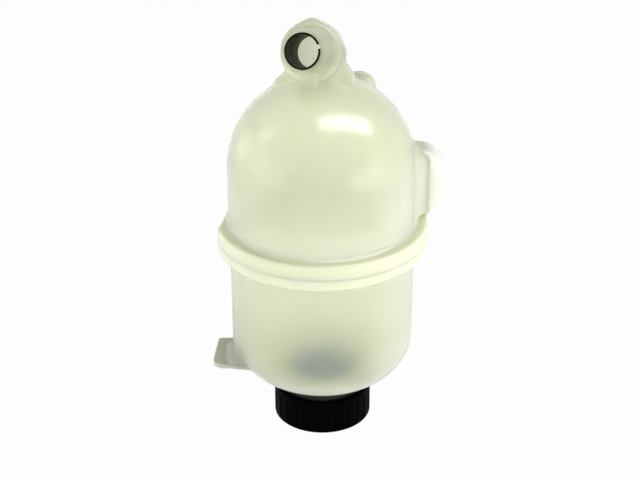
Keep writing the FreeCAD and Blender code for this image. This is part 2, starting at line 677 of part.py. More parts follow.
# Split bush, rolled from strip, with its slit along the whole length.
bush_tube = in_lug(sized("Cylinder", "BushTube", Radius="bush_radius", Height="bush_length"), z=-bush_half)
bush_hole = in_lug(sized("Cylinder", "BushHole", Radius=dim("bush_radius") - "bush_wall",
                         Height=dim("bush_length") + 4), z=-(bush_half + 2))
bush_gap = doc.addObject("Part::Box", "BushGap")
bind(bush_gap, Length=dim("bush_radius") + 2, Width="bush_slit", Height=dim("bush_length") + 4)
slit = math.radians(dim("bush_slit_angle").value)
half_slit = dim("bush_slit").value / 2
in_lug(bush_gap, x=half_slit * math.sin(slit), y=-half_slit * math.cos(slit), z=-(bush_half + 2),
       angle=dim("bush_slit_angle").value)
bush_ring = combine("Cut", "BushRing", bush_tube, bush_hole)
lug_bush = combine("Cut", "LugBush", bush_ring, bush_gap)

# Screw cap: a cup with a snap peg inside and shallow grip flutes outside.
insert_floor = dim("insert_foot_height") + "insert_lip_height"
retainer_top = insert_floor + "retainer_thickness"
lip_low = retainer_top + "retainer_clearance"
lip_top = lip_low + "peg_lip_height"
cap_cover = revolved("CapCover", [
    (0, 0),
    ("cap_foot_radius", 0),
    ("cap_radius", "cap_height"),
    ("cap_bore_radius", "cap_height"),
    ("cap_bore_radius", "cap_base"),
    ("peg_radius", "cap_base"),
    ("peg_radius", lip_low),
    (dim("peg_radius") + "peg_lip", lip_low),
    ("peg_radius", lip_top),
    ("peg_bore_radius", lip_top),
    ("peg_bore_radius", "cap_base"),
    (0, "cap_base"),
])
dress(cap_cover, "Fillet", "CapFoot", circles(cap_cover, "cap_foot_radius", 0), "cap_edge_radius")
dress(cap_cover, "Fillet", "CapRim", circles(cap_cover, "cap_radius", "cap_height"), dim("cap_edge_radius") * 0.6)
flute_sketch = cap_cover.newObject("Sketcher::SketchObject", "FluteProfile")
flute_sketch.AttachmentSupport = [(plane(cap_cover, "XY_Plane"), "")]
flute_sketch.MapMode = "FlatFace"
bind(flute_sketch, AttachmentOffset__Base__z="cap_flute_margin")
flute_place = dim("cap_radius") + "cap_flute_radius" - "cap_flute_depth"
flute_sketch.addGeometry(Part.Circle(FreeCAD.Vector(flute_place.value, 0, 0), FreeCAD.Vector(0, 0, 1),
                                     dim("cap_flute_radius").value), False)
flute_sketch.addConstraint(Sketcher.Constraint("PointOnObject", 0, 3, -1))
flute_index = flute_sketch.addConstraint(Sketcher.Constraint("DistanceX", -1, 1, 0, 3, flute_place.value))
flute_sketch.setExpression(f"Constraints[{flute_index}]", flute_place.text)
flute_index = flute_sketch.addConstraint(Sketcher.Constraint("Radius", 0, dim("cap_flute_radius").value))
flute_sketch.setExpression(f"Constraints[{flute_index}]", dim("cap_flute_radius").text)
flute = cap_cover.newObject("PartDesign::Pocket", "Flute")
flute.Profile = flute_sketch
flute.Reversed = True
bind(flute, Length=dim("cap_height") - dim("cap_flute_margin") * 2)
doc.recompute()
flutes = cap_cover.newObject("PartDesign::PolarPattern", "Flutes")
flutes.Originals = [flute]
flutes.Axis = (flute_sketch, ["N_Axis"])
flutes.Angle = 360
bind(flutes, Occurrences="cap_flute_count")
cap_cover.Tip = flutes
doc.recompute()

# Cap insert: a stepped sleeve with a ring groove, a retainer groove and a pressure seat.
insert_end = dim("insert_top_height") - "insert_end_wall"
seat_face = insert_end - "seat_height"
groove_floor = dim("insert_radius") - "ring_groove_depth"
groove_top = dim("ring_groove_height") + "ring_groove_width"
retainer_room = dim("insert_bore_radius") + "retainer_groove"
retainer_roof = retainer_top + "retainer_clearance"
insert_form = revolved("InsertForm", [
    (dim("insert_bore_radius") - "insert_lip", "insert_foot_height"),
    ("insert_radius", "insert_foot_height"),
    ("insert_radius", "ring_groove_height"),
    (groove_floor, "ring_groove_height"),
    (groove_floor, groove_top),
    ("insert_radius", groove_top),
    ("insert_radius", "insert_step_height"),
    ("insert_tip_radius", dim("insert_step_height") + "insert_step_rise"),
    ("insert_tip_radius", "insert_top_height"),
    ("insert_mouth_radius", "insert_top_height"),
    ("insert_mouth_radius", seat_face),
    (dim("insert_mouth_radius") + "seat_width", seat_face),
    (dim("insert_mouth_radius") + "seat_width", insert_end),
    ("insert_bore_radius", insert_end),
    ("insert_bore_radius", retainer_roof),
    (retainer_room, retainer_roof),
    (retainer_room, insert_floor),
    (dim("insert_bore_radius") - "insert_lip", insert_floor),
])
dress(insert_form, "Fillet", "InsertTip", circles(insert_form, "insert_tip_radius", "insert_top_height"),
      "insert_tip_edge")

# Sealing ring in its groove.
ring_radius = groove_floor + "ring_section_radius" + "ring_clearance"
o_ring = primitive("Torus", "HousingORing", z=dim("ring_groove_height") + dim("ring_groove_width") / 2,
                   Radius1=ring_radius, Radius2="ring_section_radius")

# Retainer: a swivel plate with vent holes between the spring and the snap peg.
retainer = revolved("SpringRetainer", [
    (dim("peg_radius") + "peg_clearance", insert_floor),
    (retainer_room - "retainer_clearance", insert_floor),
    (retainer_room - "retainer_clearance", retainer_top),
    (dim("peg_radius") + "peg_clearance", retainer_top),
])
vent_sketch = retainer.newObject("Sketcher::SketchObject", "VentProfile")
vent_sketch.AttachmentSupport = [(plane(retainer, "XY_Plane"), "")]
vent_sketch.MapMode = "FlatFace"
vent_sketch.addGeometry(Part.Circle(FreeCAD.Vector(dim("vent_circle").value, 0, 0), FreeCAD.Vector(0, 0, 1),
                                    dim("vent_radius").value), False)
vent_sketch.addConstraint(Sketcher.Constraint("PointOnObject", 0, 3, -1))
vent_index = vent_sketch.addConstraint(Sketcher.Constraint("DistanceX", -1, 1, 0, 3, dim("vent_circle").value))
vent_sketch.setExpression(f"Constraints[{vent_index}]", dim("vent_circle").text)
vent_index = vent_sketch.addConstraint(Sketcher.Constraint("Radius", 0, dim("vent_radius").value))
vent_sketch.setExpression(f"Constraints[{vent_index}]", dim("vent_radius").text)
vent = retainer.newObject("PartDesign::Pocket", "Vent")
vent.Profile = vent_sketch
vent.Type = 1
vent.Midplane = True
doc.recompute()
vents = retainer.newObject("PartDesign::PolarPattern", "Vents")
vents.Originals = [vent]
vents.Axis = (vent_sketch, ["N_Axis"])
vents.Angle = 360
bind(vents, Occurrences="vent_count")
retainer.Tip = vents
doc.recompute()

# Pressure valve: a rubber ring on a skirted plate, pressed on the seat by the coil spring.
seal_low = seat_face - "seal_thickness"
plate_low = seal_low - "plate_thickness"
pressure_seal = revolved("PressurePlateSeal", [
    ("seal_hole_radius", seal_low),
    ("seal_radius", seal_low),
    ("seal_radius", seat_face),
    ("seal_hole_radius", seat_face),
])
skirt_inside = dim("plate_radius") - "plate_skirt_wall"
pressure_plate = revolved("PressurePlate", [
    ("plate_hole_radius", plate_low),
    (skirt_inside, plate_low),
    (skirt_inside, plate_low - "plate_skirt"),
    ("plate_radius", plate_low - "plate_skirt"),
    ("plate_radius", seal_low),
    ("plate_hole_radius", seal_low),
])


def coil_spring(name, radius, wire, active, low, high):
    """A round-wire coil between the faces at low and high: a closed turn at each end and active turns between.
    Each half turn is half a torus that leans about Y, so the wire stays smooth where the halves meet."""
    radius = dim(radius)
    wire = dim(wire)
    low = dim(low) + wire + "spring_seat_gap"
    high = dim(high) - wire - "spring_seat_gap"
    closed = wire + dim("spring_seat_gap") / 2
    rise = (high - low - closed * 4) / (dim(active) * 2)
    rises = [closed] * 2 + [rise] * int(dim(active).value * 2) + [closed] * 2
    halves = []
    for i, step in enumerate(rises):
        lean = math.degrees(math.asin(step.value / (radius.value * 2)))
        spin = turned((0, 1, 0), lean)
        if i % 2:
            spin = turned((0, 1, 0), -lean).multiply(turned((0, 0, 1), 180))
        halves.append(primitive("Torus", f"{name}Half{i + 1}", z=low + step / 2, turn=spin, Radius1=radius,
                                Radius2=wire, Angle3=180))
        low = low + step
    return combine("MultiFuse", name, *halves)


pressure_spring = coil_spring("PressureSpring", "main_coil_radius", "main_wire_radius", "main_turns", retainer_top,
                              plate_low)

# Vacuum valve: a disc on the tank's side of the seal, pulled shut by a small spring on its stem.
stem_end = seat_face - "vacuum_stem_length"
groove_low = stem_end + "clip_groove_offset"
groove_high = groove_low + "clip_thickness" + dim("clip_clearance") * 2
vacuum_valve = revolved("VacuumValve", [
    (0, stem_end),
    ("vacuum_stem_radius", stem_end),
    ("vacuum_stem_radius", groove_low),
    ("clip_groove_radius", groove_low),
    ("clip_groove_radius", groove_high),
    ("vacuum_stem_radius", groove_high),
    ("vacuum_stem_radius", seat_face),
    ("vacuum_disc_radius", seat_face),
    ("vacuum_disc_radius", seat_face + "vacuum_disc_height"),
    (0, seat_face + "vacuum_disc_height"),
])
clip_low = groove_low + "clip_clearance"
clip_high = clip_low + "clip_thickness"
clip_hole = dim("clip_groove_radius") + "clip_clearance"
clip_ring = revolved("ClipRing", [
    (clip_hole, clip_low),
    ("clip_radius", clip_low),
    ("clip_radius", clip_high),
    (clip_hole, clip_high),
])
clip_slot = primitive("Box", "ClipSlot", x=0, y=-(dim("clip_slot") / 2), z=clip_low - 1,
                      Length=dim("clip_radius") + 1, Width="clip_slot", Height=dim("clip_thickness") + 2)
vacuum_clip = combine("Cut", "VacuumClip", clip_ring, clip_slot)
vacuum_spring = coil_spring("VacuumSpring", "small_coil_radius", "small_wire_radius", "small_turns", clip_high, plate_low)

NODES = {
    "upper_shell": upper_shell,
    "lower_shell": lower_shell,
    "lug_bush": lug_bush,
    "cap_cover": cap_cover,
    "valve_housing": insert_form,
    "housing_o_ring": o_ring,
    "spring_retainer": retainer,
    "pressure_spring": pressure_spring,
    "pressure_plate": pressure_plate,
    "pressure_plate_seal": pressure_seal,
    "vacuum_valve": vacuum_valve,
    "vacuum_spring": vacuum_spring,
    "vacuum_clip": vacuum_clip,
}
for label, item in NODES.items():
    item.Label = label
doc.recompute()

faults = [item.Name for item in doc.Objects if "Invalid" in item.State or "Error" in item.State]
for label, item in NODES.items():
    if item.Shape.isNull() or not item.Shape.isValid() or len(item.Shape.Solids) != 1:
        faults.append(label)
if faults:
    raise RuntimeError("not built: " + ", ".join(faults))

os.makedirs("parts", exist_ok=True)
for label, item in NODES.items():
    item.Shape.exportStep(f"parts/{label}.step")
    box = item.Shape.BoundBox
    print(label, round(item.Shape.Volume, 1), [round(v, 2) for v in (box.XMin, box.XMax, box.YMin, box.YMax,
                                                                      box.ZMin, box.ZMax)])
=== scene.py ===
"""Looks of a coolant reservoir: a milky two-shell tank that stands on its black screw cap."""

import json
import math

import bmesh
import bpy
from mathutils import Matrix, Vector


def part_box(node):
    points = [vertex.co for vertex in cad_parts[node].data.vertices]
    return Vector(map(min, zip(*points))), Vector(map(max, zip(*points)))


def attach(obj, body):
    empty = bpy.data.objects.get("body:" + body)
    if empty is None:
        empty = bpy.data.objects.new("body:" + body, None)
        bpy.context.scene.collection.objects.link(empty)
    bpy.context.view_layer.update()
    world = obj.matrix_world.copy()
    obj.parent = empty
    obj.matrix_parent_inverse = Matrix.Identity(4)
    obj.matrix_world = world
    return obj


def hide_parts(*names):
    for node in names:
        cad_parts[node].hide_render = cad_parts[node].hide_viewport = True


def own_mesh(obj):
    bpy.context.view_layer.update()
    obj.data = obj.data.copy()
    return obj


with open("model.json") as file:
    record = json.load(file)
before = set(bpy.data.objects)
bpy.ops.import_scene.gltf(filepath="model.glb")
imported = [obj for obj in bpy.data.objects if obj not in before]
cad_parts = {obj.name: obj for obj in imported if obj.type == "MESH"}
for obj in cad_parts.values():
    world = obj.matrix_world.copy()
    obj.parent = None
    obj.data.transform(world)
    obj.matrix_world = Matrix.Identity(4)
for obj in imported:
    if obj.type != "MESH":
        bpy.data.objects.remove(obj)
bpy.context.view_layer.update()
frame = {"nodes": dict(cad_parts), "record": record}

# Sizes of the CAD model that pieces and finishes are placed by, in metres
MM = 0.001
SHELL_RADIUS = 56.3 * MM  # upper shell and its dome
DOME_CENTRE = 169.5 * MM
FOOT_RADIUS = 55.5 * MM  # lower shell, where its bottom curve starts
CURVE_HEIGHT = 59.6 * MM  # start of the bottom curve
CURVE_RADIUS = 28.6 * MM
SEAM = 127 * MM
FLAT_TURN = math.radians(167)  # direction that the flat on the flange faces
NECK_RADIUS = 25.2 * MM
CAP_BORE = 27.0 * MM
THREAD_PITCH = 4 * MM
TONGUE_TOP = 42.5 * MM
TONGUE_FRONT = 17.5 * MM  # the tongue's width before the axis
PORT_FRONT, PORT_BACK = -2 * MM, 18 * MM
PORT_LOW, PORT_HIGH = 135.5 * MM, 180 * MM
PORT_EDGE = 6 * MM  # rounding of the port housing's edges
LUG_SOCKET = (-4.7 * MM, 10.1 * MM, 238.1 * MM)  # closed end of the lug's bore
OUTLET_NIPPLE = (23.2 * MM, 60 * MM, 191 * MM)


# Node trees

class Tree:
    """The nodes of a new material or world, with short calls that add a node and link into it."""

    def __init__(self, owner, shader="Principled BSDF"):
        owner.use_nodes = True
        self.owner = owner
        self.nodes = owner.node_tree.nodes
        self.links = owner.node_tree.links
        self.shader = self.nodes[shader]
        self.places = self.add("TexCoord").outputs
        self.place = self.places["Object"]

    def add(self, kind, inputs=None, **settings):
        node = self.nodes.new("ShaderNode" + kind)
        for key, value in settings.items():
            setattr(node, key, value)
        self.fill(node, inputs or {})
        return node

    def fill(self, node, inputs):
        for key, value in inputs.items():
            if isinstance(value, bpy.types.NodeSocket):
                self.links.new(value, node.inputs[key])
            else:
                node.inputs[key].default_value = value

    def noise(self, scale, detail, stretch=(1, 1, 1)):
        """A noise value over the object, with features about 1 / scale metres apart."""
        place = self.add("Mapping", {"Vector": self.place, "Scale": stretch}).outputs["Vector"]
        texture = self.add("TexNoise", {"Vector": place, "Scale": scale, "Detail": detail})
        return texture.outputs["Fac"]

    def spread(self, value, low, high, start=0.3, end=0.7):
        """The value between start and end, mapped to the range from low to high."""
        ends = {"From Min": start, "From Max": end, "To Min": low, "To Max": high}
        return self.add("MapRange", {"Value": value, **ends}).outputs["Result"]

    def rise(self, value, start, end):
        """Nothing up to start, and one from end on."""
        return self.spread(value, 0.0, 1.0, start, end)

    def fall(self, value, start, end):
        """One up to start, and nothing from end on."""
        return self.spread(value, 1.0, 0.0, start, end)

    def times(self, first, second):
        return self.add("Math", {0: first, 1: second}, operation="MULTIPLY").outputs[0]

    def most(self, first, second):
        return self.add("Math", {0: first, 1: second}, operation="MAXIMUM").outputs[0]

    def along(self, axis):
        """How far a place lies along the X, Y or Z axis."""
        return self.add("SeparateXYZ", {"Vector": self.place}).outputs[axis]

    def radius(self):
        """How far a place lies from the upright axis."""
        level = self.add("VectorMath", {0: self.place, 1: (1, 1, 0)}, operation="MULTIPLY")
        length = self.add("VectorMath", {0: level.outputs["Vector"]}, operation="LENGTH")
        return length.outputs["Value"]

    def toward(self, turn):
        """How far a place lies out from the upright axis in one level direction."""
        way = (math.cos(turn), math.sin(turn), 0)
        product = self.add("VectorMath", {0: self.place, 1: way}, operation="DOT_PRODUCT")
        return product.outputs["Value"]

    def near(self, centre, inner, outer):
        """One within inner metres of a centre, and nothing beyond outer."""
        gap = self.add("VectorMath", {0: self.place, 1: centre}, operation="DISTANCE")
        return self.fall(gap.outputs["Value"], inner, outer)

    def seen(self):
        """One for rays from the camera, from reflections and through clear plastic."""
        rays = self.add("LightPath").outputs
        direct = self.most(rays["Is Camera Ray"], rays["Is Glossy Ray"])
        return self.most(direct, rays["Is Transmission Ray"])

    def ramp(self, value, *stops):
        node = self.add("ValToRGB", {"Fac": value})
        for element, (position, colour) in zip(node.color_ramp.elements, stops, strict=True):
            element.position = position
            element.color = (*colour, 1.0)
        return node.outputs["Color"]

    def tint(self, tone, share, colour):
        """The tone, with a share of a colour mixed in."""
        inputs = {0: share, 6: tone, 7: (*colour, 1)}
        return self.add("Mix", inputs, data_type="RGBA").outputs[2]

    def softened(self, radius):
        """The surface's direction, with its edges rounded."""
        return self.add("Bevel", {"Radius": radius}, samples=4).outputs["Normal"]

    def bump(self, height, strength, distance, normal=None):
        node = self.add("Bump", {"Height": height, "Strength": strength, "Distance": distance})
        if normal is not None:
            self.fill(node, {"Normal": normal})
        return node.outputs["Normal"]


# Materials

def shell_plastic(name, clear):
    """Milky, slightly green polypropylene, with flow marks and a faint orange peel. The clear share
    lets light and dim shapes through the wall: less in the thick flange and port, above the flange,
    towards the left and right, and at the bottom. Painted shade darkens the flat on the flange, the
    lug with the top of the dome, and the tongue with the shell above it. Painted light makes the
    bottom and the closed end of the lug's bore paler. The neck is painted nearly black, as painted
    shade for the cap round it and the dark insert behind it."""
    tree = Tree(bpy.data.materials.new(name))
    radius, across, height = tree.radius(), tree.along("X"), tree.along("Z")
    clouds = tree.noise(16, 2)
    flow = tree.noise(14, 3, (1.6, 1.6, 0.35))

    above_flange = tree.rise(height, 134 * MM, 139 * MM)
    flat = tree.rise(tree.toward(FLAT_TURN), 56.4 * MM, 56.6 * MM)
    full_thickness = tree.spread(above_flange, 59 * MM, 65 * MM, 0.0, 1.0)
    thick = tree.most(tree.rise(radius, 56.8 * MM, full_thickness), flat)
    lower = tree.times(tree.fall(height, 85 * MM, SEAM), tree.rise(height, 45 * MM, 75 * MM))
    bottom = tree.fall(height, 42 * MM, 70 * MM)
    port = tree.times(tree.rise(across, 55 * MM, 60 * MM), above_flange)
    outlet = tree.near(OUTLET_NIPPLE, 15 * MM, 20 * MM)
    lug = tree.rise(height, 226 * MM, 236 * MM)
    socket_painted_light = tree.near(LUG_SOCKET, 9.5 * MM, 10.5 * MM)
    tongue = tree.times(tree.fall(across, -58 * MM, -39 * MM),
                        tree.fall(height, 43.5 * MM, 61 * MM))
    neck = tree.fall(height, 29 * MM, 31.5 * MM)

    tone = tree.ramp(clouds, (0.3, (0.866, 0.874, 0.800)), (0.7, (0.903, 0.911, 0.840)))
    for share, colour in (
        (tree.spread(flow, 0.0, 0.35), (0.882, 0.887, 0.800)),
        (lower, (0.838, 0.846, 0.735)),
        # painted light: the bottom curve paler, for light from the floor
        (bottom, (0.935, 0.945, 0.895)),
        (thick, (0.84, 0.865, 0.655)),
        # painted shade: the flat on the flange's left side darker
        (flat, (0.62, 0.65, 0.48)),
        (port, (0.90, 0.92, 0.81)),
        (outlet, (0.70, 0.715, 0.60)),
        # painted shade: the lug and the top of the dome darker
        (lug, (0.60, 0.615, 0.50)),
        # painted light: paler round the closed end of the lug's bore, inside the lug's painted
        # shade
        (socket_painted_light, (0.84, 0.84, 0.75)),
        # painted shadow of the tank on the tongue and on the shell's lower left above it
        (tongue, (0.57, 0.57, 0.465)),
        # painted shade: the neck nearly black, for the cap round it and the dark insert behind it
        (neck, (0.016, 0.018, 0.011)),
    ):
        tone = tree.tint(tone, share, colour)

    waves = tree.bump(tree.noise(38, 1), 0.10, 1.2 * MM, tree.softened(0.4 * MM))
    peel = tree.bump(tree.noise(420, 2), 0.05, 0.15 * MM, waves)
    tree.fill(tree.shader, {
        "Base Color": tone,
        "Roughness": tree.times(tree.spread(clouds, 0.58, 0.66),
                                tree.spread(height, 0.7, 1.0, 60 * MM, 95 * MM)),
        "Normal": peel,
        "IOR": 1.2,
        "Coat Weight": tree.spread(height, 0.4, 1.0, 70 * MM, 135 * MM),
        "Coat Roughness": 0.2,
        "Coat IOR": 1.65,
        "Coat Tint": (0.995, 1.0, 0.94, 1),
        "Sheen Weight": 0.2,
        "Sheen Roughness": 0.6,
        "Sheen Tint": (0.98, 1.0, 0.86, 1),
    })
    if clear:
        sides = tree.times(tree.most(tree.spread(across, 0.0, 0.5, 25 * MM, 57 * MM),
                                     tree.spread(across, 0.3, 0.0, -57 * MM, -30 * MM)),
                           tree.spread(height, 1.0, 0.3, 165 * MM, 190 * MM))
        ledge = tree.times(tree.spread(height, 0.5, 0.0, 137 * MM, 156 * MM),
                           tree.rise(height, 126 * MM, SEAM))
        milky = tree.most(thick, tree.most(sides, ledge))
        wall = tree.times(tree.spread(height, 0.35, 1.0, 34 * MM, 50 * MM),
                          tree.spread(height, 1.0, 0.85, 60 * MM, 95 * MM))
        thinned = tree.spread(milky, clear, clear * 0.1, 0.0, 1.0)
        tree.fill(tree.shader, {
            "Subsurface Weight": 0.6,
            "Subsurface Radius": (1.0, 1.0, 0.75),
            "Subsurface Scale": 6 * MM,
            "Transmission Weight": tree.times(thinned, wall),
        })
    return tree.owner


def cap_plastic():
    """Black moulded plastic, fine-grained and dusty in patches, with softened edges."""
    tree = Tree(bpy.data.materials.new("cap_plastic"))
    grain = tree.noise(1400, 2)
    dust = tree.noise(60, 4)
    tree.fill(tree.shader, {
        "Base Color": tree.tint((0.0006, 0.0006, 0.0006, 1), tree.spread(dust, 0.0, 0.5),
                                (0.0016, 0.0016, 0.0014)),
        "Roughness": tree.spread(dust, 0.42, 0.55),
        "Specular IOR Level": 0.01,
        "Normal": tree.bump(grain, 0.10, 0.12 * MM, tree.softened(0.7 * MM)),
    })
    return tree.owner


def insert_plastic():
    """Glass-filled plastic of the cap's insert: blue in the middle of its tip, else blue-grey."""
    tree = Tree(bpy.data.materials.new("insert_plastic"))
    fibres = tree.noise(500, 3, (1, 1, 0.3))
    tone = tree.ramp(fibres, (0.3, (0.003, 0.07, 0.50)), (0.7, (0.006, 0.10, 0.62)))
    tone = tree.tint(tone, tree.rise(tree.radius(), 5 * MM, 16 * MM), (0.24, 0.35, 0.48))
    tone = tree.tint(tone, tree.fall(tree.along("Z"), 31 * MM, 34.5 * MM), (0.30, 0.37, 0.42))
    tree.fill(tree.shader, {
        "Base Color": tone,
        "Roughness": tree.spread(fibres, 0.40, 0.52),
        "Normal": tree.bump(fibres, 0.08, 0.1 * MM),
    })
    return tree.owner


def rubber():
    """Black sealing rubber with a dull, dusty skin."""
    tree = Tree(bpy.data.materials.new("sealing_rubber"))
    skin = tree.noise(800, 3)
    tree.fill(tree.shader, {
        "Base Color": tree.ramp(skin, (0.3, (0.012, 0.012, 0.012)), (0.7, (0.024, 0.024, 0.023))),
        "Roughness": tree.spread(skin, 0.62, 0.8),
        "Normal": tree.bump(skin, 0.12, 0.1 * MM),
    })
    return tree.owner


def metal(name, dark, pale, rough, metallic, scale, stretch, gloss=0.5, lit_place=None):
    """Worked metal with stains from dark to pale and a gloss that varies along its grain. Round a
    lit place, if one is given, it is paler with painted light."""
    tree = Tree(bpy.data.materials.new(name))
    grain = tree.noise(scale, 4, stretch)
    stains = tree.noise(110, 4)
    tone = tree.ramp(stains, (0.32, dark), (0.72, pale))
    # painted light: paler round the given lit place
    if lit_place is not None:
        tone = tree.tint(tone, tree.near(lit_place, 4 * MM, 17 * MM), (0.16, 0.145, 0.08))
    tree.fill(tree.shader, {
        "Base Color": tone,
        "Metallic": metallic,
        "Specular IOR Level": gloss,
        "Roughness": tree.spread(grain, rough - 0.07, rough + 0.07),
        "Normal": tree.bump(grain, 0.12, 0.08 * MM),
    })
    return tree.owner


MATERIALS = {
    "shell_plastic": shell_plastic("shell_plastic", clear=0.96),
    "cap_plastic": cap_plastic(),
    "insert_plastic": insert_plastic(),
    "rubber": rubber(),
    "spring_steel": metal("spring_steel", dark=(0.36, 0.36, 0.37), pale=(0.52, 0.52, 0.53),
                          rough=0.3, metallic=1.0, scale=700, stretch=(1, 1, 3)),
    "bush_steel": metal("bush_steel", dark=(0.006, 0.0055, 0.004), pale=(0.016, 0.015, 0.010),
                        rough=0.5, metallic=0.12, scale=600, stretch=(1, 1, 1), gloss=0.06,
                        # painted light: paler deep in the bush, towards the lug's closed bore end
                        lit_place=(-3.5 * MM, 12.0 * MM, 243.0 * MM)),
    "valve_brass": metal("valve_brass", dark=(0.55, 0.40, 0.17), pale=(0.72, 0.55, 0.26),
                         rough=0.33, metallic=1.0, scale=500, stretch=(1, 1, 4)),
}
SOLID_PLASTIC = shell_plastic("shell_plastic_solid", clear=0.0)
for part in frame["record"]["subparts"]:
    mesh = frame["nodes"][part["node"]].data
    mesh.materials.clear()
    mesh.materials.append(MATERIALS[part["material_slot"]])


# Added pieces

SHARP_EDGE = math.radians(50)


def piece(name, points, faces, body, slot, finish=None):
    """A mesh piece in the shared frame that rides on a body and has a slot's finish, or its own."""
    mesh = bpy.data.meshes.new(name)
    mesh.from_pydata(points, [], faces)
    shape = bmesh.new()
    shape.from_mesh(mesh)
    bmesh.ops.recalc_face_normals(shape, faces=shape.faces)
    shape.to_mesh(mesh)
    shape.free()
    for face in mesh.polygons:
        face.use_smooth = True
    mesh.set_sharp_from_angle(angle=SHARP_EDGE)
    mesh.materials.append(finish or MATERIALS[slot])
    item = bpy.data.objects.new(name, mesh)
    bpy.context.scene.collection.objects.link(item)
    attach(item, body)
    return item


def swept(sections, closed):
    """Points and faces of a tube through closed sections with equal counts. It is a ring where
    closed is true, and otherwise has two end faces."""
    count = len(sections[0])
    points = [point for section in sections for point in section]
    faces = []
    rings = len(sections) if closed else len(sections) - 1
    for i in range(rings):
        here = i * count
        there = (i + 1) % len(sections) * count
        for k in range(count):
            turn = (k + 1) % count
            faces.append((here + k, here + turn, there + turn, there + k))
    if not closed:
        faces.append(tuple(reversed(range(count))))
        faces.append(tuple(range(len(points) - count, len(points))))
    return points, faces


def thread(name, body, slot, root, crest, foot, tip, low, turns, finish=None):
    """A screw thread whose ridge runs out at both ends. Root and crest are its radii, foot and tip
    its widths there, and low is the height that it starts from."""
    steps = int(turns * 64)
    run_out = 10  # steps
    least = 0.04  # share of the ridge's height at its ends
    sunk = root - math.copysign(0.15 * MM, crest - root)
    sections = []
    for i in range(steps + 1):
        share = i / steps
        angle = share * turns * math.tau
        height = low + share * turns * THREAD_PITCH
        swell = min(1.0, share * steps / run_out, (1 - share) * steps / run_out)
        top = root + (crest - root) * (swell * (1 - least) + least)
        corners = [(sunk, -foot / 2), (top, -tip / 2), (top, tip / 2), (sunk, foot / 2)]
        if crest < root:
            corners.reverse()
        sections.append([(r * math.cos(angle), r * math.sin(angle), height + z)
                         for r, z in corners])
    points, faces = swept(sections, closed=False)
    piece(name, points, faces, body, slot, finish)


thread("neck_thread", "tank", "shell_plastic", root=NECK_RADIUS, crest=26.35 * MM, foot=2.0 * MM,
       tip=0.9 * MM, low=6.5 * MM, turns=2.4, finish=SOLID_PLASTIC)
thread("cap_thread", "cap", "cap_plastic", root=CAP_BORE, crest=25.75 * MM, foot=1.7 * MM,
       tip=0.8 * MM, low=8.4 * MM, turns=2.2)


def coil(name, node, body, radius, wire, active):
    """A spring of round wire in its node's place, with a closed turn at each end. Radius and wire
    are the radii of the coil and the wire."""
    steps = 48  # a turn
    sides = 12  # round the wire
    closed = 2.05 * wire
    low, high = (corner[2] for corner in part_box(node))
    rise = (high - low - 2 * wire - 2 * closed) / active
    turns = active + 2
    sections = []
    for i in range(turns * steps + 1):
        turn = i / steps
        angle = turn * math.tau
        middle = min(max(turn - 1, 0), active)
        height = low + wire + closed * (turn - middle) + rise * middle
        slope = (rise if 1 < turn < turns - 1 else closed) / (math.tau * radius)
        out = Vector((math.cos(angle), math.sin(angle), 0))
        ahead = Vector((-math.sin(angle), math.cos(angle), slope)).normalized()
        up = out.cross(ahead)
        centre = out * radius + Vector((0, 0, height))
        section = []
        for k in range(sides):
            around = k * math.tau / sides
            side = out * math.cos(around) + up * math.sin(around)
            section.append(tuple(centre + side * wire))
        sections.append(section)
    points, faces = swept(sections, closed=False)
    item = piece(name, points, faces, body, "spring_steel")
    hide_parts(node)
    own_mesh(item)


coil("pressure_coil", "pressure_spring", "insert", radius=11.6 * MM, wire=0.8 * MM, active=4)
coil("vacuum_coil", "vacuum_spring", "pressure_valve", radius=3.2 * MM, wire=0.2 * MM, active=3)


def weld_bead():
    """The narrow bead of squeezed-out plastic in the seam, flat where the flange is trimmed."""
    ring = 63.96 * MM  # radius of the bead's middle
    flat = 56.68 * MM  # its distance from the axis along the flat
    thickness, ripple, sway = 0.17 * MM, 0.02 * MM, 0.06 * MM
    steps, sides = 360, 8
    sections = []
    for i in range(steps):
        angle = i * math.tau / steps
        lean = math.cos(angle - FLAT_TURN)
        radius = min(ring, flat / lean) if lean > 0.1 else ring
        thick = thickness + ripple * (math.sin(17 * angle) + math.sin(41 * angle + 1.0))
        height = SEAM + sway * math.sin(9 * angle + 0.6)
        section = []
        for k in range(sides):
            turn = k * math.tau / sides
            r = radius + thick * math.cos(turn)
            z = height + thick * math.sin(turn)
            section.append((r * math.cos(angle), r * math.sin(angle), z))
        sections.append(section)
    points, faces = swept(sections, closed=True)
    piece("weld_bead", points, faces, "tank", "shell_plastic", SOLID_PLASTIC)


weld_bead()


